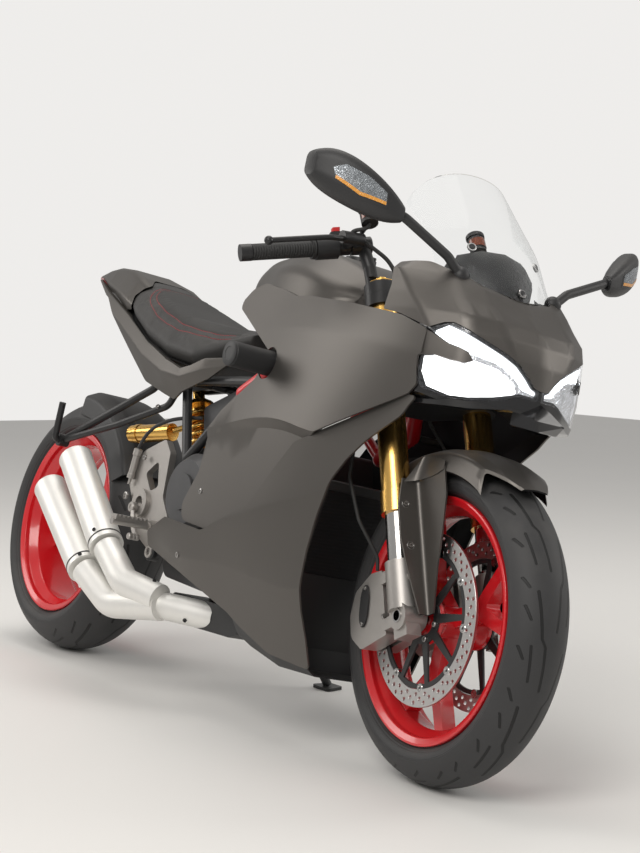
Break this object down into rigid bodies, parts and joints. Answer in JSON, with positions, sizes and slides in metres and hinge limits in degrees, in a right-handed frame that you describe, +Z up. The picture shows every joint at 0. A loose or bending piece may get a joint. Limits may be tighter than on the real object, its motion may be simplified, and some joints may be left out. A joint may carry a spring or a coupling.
{
  "type": "sport motorcycle",
  "caption": "Full-fairing sport motorcycle parked on its side stand, with twin side silencers, single-sided swingarm and clip-on bars.",
  "frame": {"origin": "centre of the bounding box, on the floor below the parked bike", "axes": "+X towards the front of the bike, +Y to the rider's left, +Z up"},
  "size_m": [2.0921, 0.8414, 1.1571],
  "materials": {
    "black_metal": "satin black",
    "black_plastic": "moulded",
    "cast_aluminium": "cast, bare",
    "chrome_steel": "hard chrome",
    "clear_screen": "clear",
    "disc_steel": "ground steel",
    "display": "glass-fronted",
    "engine_metal": "dark cast",
    "gloss_black": "gloss",
    "gold": "gold anodised",
    "lamp_lens": "clear lens",
    "radiator_fins": "black fins",
    "red_paint": "gloss",
    "rubber": "moulded",
    "seat_cover": "grained vinyl",
    "silver_exhaust": "satin",
    "titanium_paint": "matte metallic",
    "tyre": "rubber"
  },
  "bodies": {
    "chassis": {"rear_caliper": "cast_aluminium", "trellis_frame": "red_paint", "engine": "engine_metal", "engine_covers": "engine_metal", "swingarm": "black_metal", "swingarm_pivot": "chrome_steel", "shock_absorber": "gold", "footrest_plates": "cast_aluminium", "footrests": "black_metal", "subframe": "black_metal", "passenger_hangers": "black_metal", "silencers": "silver_exhaust", "exhaust_collector": "black_metal", "fairing_upper": "titanium_paint", "fairing_lower": "titanium_paint", "nose_cowl": "titanium_paint", "windscreen": "clear_screen", "headlamps": "lamp_lens", "lamp_housings": "black_plastic", "dashboard": "display", "fuel_tank": "titanium_paint", "seat": "seat_cover", "seat_base": "black_plastic", "seat_cowl": "titanium_paint", "tail_panels": "titanium_paint", "inner_panels": "black_plastic", "radiator": "radiator_fins", "mirrors": "gloss_black", "frame_sliders": "black_plastic", "chain": "disc_steel", "rear_hugger": "black_plastic"},
    "steering": {"fork_tubes": "gold", "fork_stanchions": "black_metal", "fork_feet": "cast_aluminium", "front_axle": "chrome_steel", "front_calipers": "cast_aluminium", "triple_clamps": "black_metal", "handlebars": "black_metal", "grips": "rubber", "switchgear": "black_plastic", "control_levers": "black_metal", "fluid_reservoirs": "black_plastic", "front_fender": "titanium_paint", "brake_hoses": "rubber"},
    "front_wheel": {"front_tyre": "tyre", "front_rim": "red_paint", "front_discs": "disc_steel", "front_disc_carriers": "black_metal"},
    "rear_wheel": {"rear_tyre": "tyre", "rear_rim": "red_paint", "rear_axle": "chrome_steel", "rear_disc": "disc_steel", "rear_sprocket": "disc_steel"},
    "side_stand": {"side_stand": "black_metal"},
    "fuel_cap": {"fuel_cap": "black_metal"}
  },
  "joints": [
    {"name": "steering", "type": "hinge", "parent": "chassis", "child": "steering", "pos_m": [0.48813, -0.04317, 0.77083], "axis": [-0.4068, 0.1899, 0.8935], "range_deg": [-19, 29]},
    {"name": "front_wheel_spin", "type": "hinge", "parent": "steering", "child": "front_wheel", "pos_m": [0.74683, -0.14747, 0.29646], "axis": [0.0796, 0.9818, -0.1724], "continuous": true},
    {"name": "rear_wheel_spin", "type": "hinge", "parent": "chassis", "child": "rear_wheel", "pos_m": [-0.73104, -0.14102, 0.31037], "axis": [0, 0.9781, -0.2079], "continuous": true},
    {"name": "side_stand_swing", "type": "hinge", "parent": "chassis", "child": "side_stand", "pos_m": [-0.07604, -0.00133, 0.26539], "axis": [0, 0.9781, -0.2079], "range_deg": [0, 95]},
    {"name": "fuel_cap_hinge", "type": "hinge", "parent": "chassis", "child": "fuel_cap", "pos_m": [0.25691, 0.00036, 0.97559], "axis": [0, 0.9781, -0.2079], "range_deg": [0, 95]}
  ]
}
